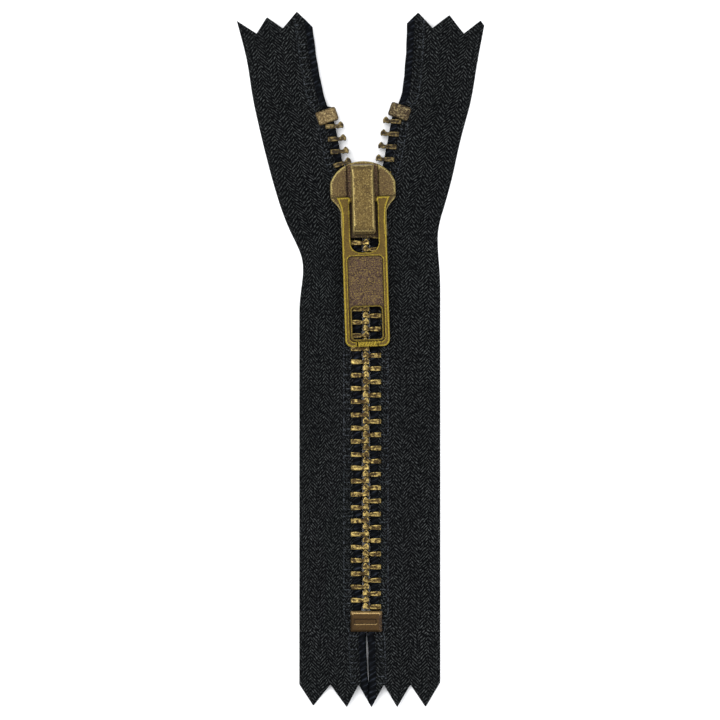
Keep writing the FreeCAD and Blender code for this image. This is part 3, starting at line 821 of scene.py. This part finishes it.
def soft_copy(node, name, face_size, relax, rim=0.28, corner=0.3):
    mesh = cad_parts[node].data.copy()
    mesh.transform(Matrix.Scale(1 / MM, 4))
    solid = bmesh.new()
    solid.from_mesh(mesh)
    bmesh.ops.remove_doubles(solid, verts=solid.verts, dist=0.0005)
    solid.to_mesh(mesh)
    solid.free()
    ridges, corners = creases(mesh)
    holder = bpy.data.objects.new("holder", mesh)
    bpy.context.collection.objects.link(holder)
    even = holder.modifiers.new("even", "REMESH")
    even.mode = "VOXEL"
    even.voxel_size = face_size
    relaxed = holder.modifiers.new("relaxed", "SMOOTH")
    relaxed.factor = 0.5
    relaxed.iterations = relax
    bpy.context.view_layer.update()
    made = holder.evaluated_get(bpy.context.evaluated_depsgraph_get())
    skin_mesh = bpy.data.meshes.new_from_object(made)
    bpy.data.objects.remove(holder)
    points = np.empty(len(skin_mesh.vertices) * 3)
    skin_mesh.vertices.foreach_get("co", points)
    points = points.reshape(-1, 3)
    for label, spots, reach in (("edge", ridges, rim), ("recess_and_shade", corners, corner)):
        values = nearness(points, spots, reach)
        skin_mesh.attributes.new(label, "FLOAT", "POINT").data.foreach_set("value", values)
    skin_mesh.transform(Matrix.Scale(MM, 4))
    skin_mesh.polygons.foreach_set("use_smooth", [True] * len(skin_mesh.polygons))
    skin_mesh.materials.clear()
    piece = bpy.data.objects.new(name, skin_mesh)
    bpy.context.collection.objects.link(piece)
    print(name, 2 * len(skin_mesh.polygons), "triangles")
    return piece, points


def pull_to(piece, label, goal, share):
    """Moves an attribute a share of the way to a goal, point by point."""
    layer = piece.data.attributes[label].data
    values = np.empty(len(layer))
    layer.foreach_get("value", values)
    layer.foreach_set("value", values + (goal - values) * share)


def add_patina_and_shade(piece, amount):
    values = np.clip(amount, 0, 1).astype(float)
    piece.data.attributes.new("patina_and_shade", "FLOAT", "POINT").data.foreach_set("value", values)


# %% [markdown]
# The slider sits a little askew in its play. The darkening is placed in the slider's own frame: two
# darker bands lie beside the cap, the plate under the pull gets a painted shadow, the cap's lower end
# and right side get painted shade, and the pull's sunk panel is dark.

# %% Slider, cap and pull
SLIDER_PLACE = Matrix.Translation((-0.366, 93.2, 0)) @ Matrix.Rotation(math.radians(1.8), 4, "Z")
PULL_PLACE = (SLIDER_PLACE @ Matrix.Translation((0, 9.2, 6.6))
              @ Matrix.Rotation(math.radians(2.9), 4, "X"))


def in_frame(points, place):
    back = np.array(place.inverted())
    return points @ back[:3, :3].T + back[:3, 3]


def band(value, low, high, soft):
    return smooth_step(value, low - soft, low + soft) * (1 - smooth_step(value, high - soft, high + soft))


def dress(piece, node, body, finish):
    piece.data.materials.append(finish)
    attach(piece, body)
    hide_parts(node)


UPPER_FACE_Z, BETWEEN_WINGS, WINGS_FROM, NOSE_FROM = 4.6, 4.3, 9.9, 16.5
BESIDE_CAP = [(-4.2, -2.95), (2.6, 3.6)]
slider, points = soft_copy("slider_body", "slider_shell", 0.15, 2)
local = in_frame(points, SLIDER_PLACE)
on_top = local[:, 2] > UPPER_FACE_Z
beside_cap = sum(band(local[:, 0], low, high, 0.12) for low, high in BESIDE_CAP)
add_patina_and_shade(slider, beside_cap * on_top)
under_pull = 1 - smooth_step(local[:, 1], 9.7, 10.0)
inside = (np.abs(local[:, 0]) < BETWEEN_WINGS) * (local[:, 1] < NOSE_FROM)
pull_to(slider, "edge", 0, on_top * inside * 0.85)
pull_to(slider, "edge", 0, on_top * band(local[:, 1], WINGS_FROM, WINGS_FROM + 0.9, 0.1) * 0.7)
# Painted shadow: the plate under the pull is darkened as if it were a recess.
pull_to(slider, "recess_and_shade", 1, on_top * under_pull * band(np.abs(local[:, 0]), -1, 4.6, 0.2))
dress(slider, "slider_body", "slider", slider_metal)

cap, points = soft_copy("slider_cap", "cap_shell", 0.11, 2, rim=0.36)
local = in_frame(points, SLIDER_PLACE)
# Painted shade: the cap is darkened at its lower end and along its right side.
add_patina_and_shade(cap, 1 - smooth_step(local[:, 1], 1.2, 2.6) + 0.7 * smooth_step(local[:, 0], 2.1, 2.6))
dress(cap, "slider_cap", "slider", cap_metal)

pull, points = soft_copy("pull_tab", "pull_shell", 0.115, 2, rim=0.22)
local = in_frame(points, PULL_PLACE)
PANEL_HALF, PANEL_FROM, PANEL_TO = 4.25, -34.4, -13.7
sunk = band(np.abs(local[:, 0]), -1, PANEL_HALF, 0.08) * band(local[:, 1], PANEL_FROM, PANEL_TO, 0.08)
add_patina_and_shade(pull, sunk * (local[:, 2] < 0.62) * (local[:, 2] > -0.6))
dress(pull, "pull_tab", "pull", pull_metal)

# %% [markdown]
# The stops are small stamped clamps, so they get a finer skin.

# %% Stops, pin and spring
stop, points = soft_copy("bottom_stop", "bottom_stop_shell", 0.08, 2, rim=0.3, corner=0.2)
# The stop is darker towards its right end.
add_patina_and_shade(stop, smooth_step(points[:, 0], 2.9, 3.7))
# Painted highlight: only the top edge and the lower groove's edge keep their bright rim, and the stop's
# other edges are dimmed.
top_edge = band(points[:, 1], 1.6, 3.0, 0.2)
groove_edge = band(points[:, 1], -0.95, -0.45, 0.1) * (points[:, 2] > 3.6) * (np.abs(points[:, 0]) < 2.9)
pull_to(stop, "edge", 0, 0.9 * (1 - top_edge - 0.6 * groove_edge))
dress(stop, "bottom_stop", "foot", stop_metal)
for side in SIDES:
    piece, points = soft_copy(side + "_top_stop", side + "_top_stop_shell", 0.08, 2, rim=0.35)
    # The right top stop is darker all over than the left one.
    add_patina_and_shade(piece, np.full(len(points), 0.0 if side == "left" else 0.8))
    dress(piece, side + "_top_stop", side + "_end", top_stop_metal)
for node, finish in (("lock_pin", slider_metal), ("lock_spring", spring_metal)):
    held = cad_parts[node]
    for slot in held.material_slots:
        slot.material = finish

# %% [markdown]
# ## The soft pieces in place
# A tape is one strip of cloth, made here as a lower and an upper part. Each tape, cord and stitch
# mesh takes its transform into its points. Each tape and cord part then hides the CAD pieces it
# stands for: the lower part those of the foot and the stringer, the upper part that of the end.

# %% Bake the soft pieces in place and hide the CAD ones
SOFT = {"tape": (tapes, "tape"), "cord": (cords, "cord"), "stitches": (stitches, "tape")}
for label, (pieces, slot) in SOFT.items():
    for (side, part), piece in pieces.items():
        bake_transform(piece)
        if label == "stitches":
            continue
        nodes = ["_foot", ""] if part == "lower" else ["_end"]
        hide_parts(*(side + "_" + label + node for node in nodes))
